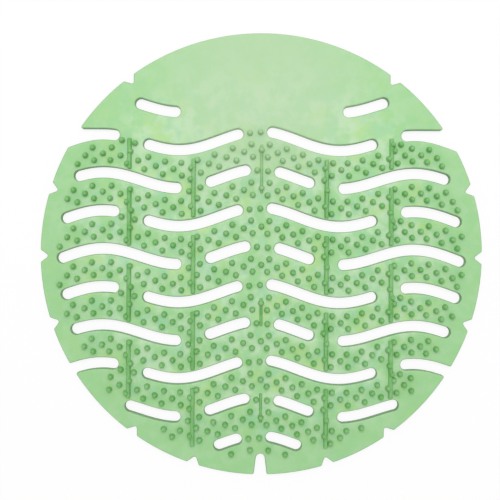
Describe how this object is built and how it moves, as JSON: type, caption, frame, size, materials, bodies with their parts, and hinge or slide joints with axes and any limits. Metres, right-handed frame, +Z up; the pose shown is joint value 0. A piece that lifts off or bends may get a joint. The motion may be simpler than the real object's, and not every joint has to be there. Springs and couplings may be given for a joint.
{
  "type": "urinal deodorizer screen",
  "caption": "Flat round soft-plastic screen with wave-shaped drain slots, a field of small splash pegs, low ribs and a notched rim.",
  "frame": {"origin": "centre of the disc on its flat underside", "axes": "+Z up through the thickness towards the pegs, +Y towards the bare top of the disc, +X to the right seen from above"},
  "size_m": [0.19, 0.1899, 0.0055],
  "materials": {
    "soft_plastic": "pale green translucent soft plastic with a satin moulded surface"
  },
  "bodies": {
    "root": {"screen": "soft_plastic"}
  },
  "joints": []
}
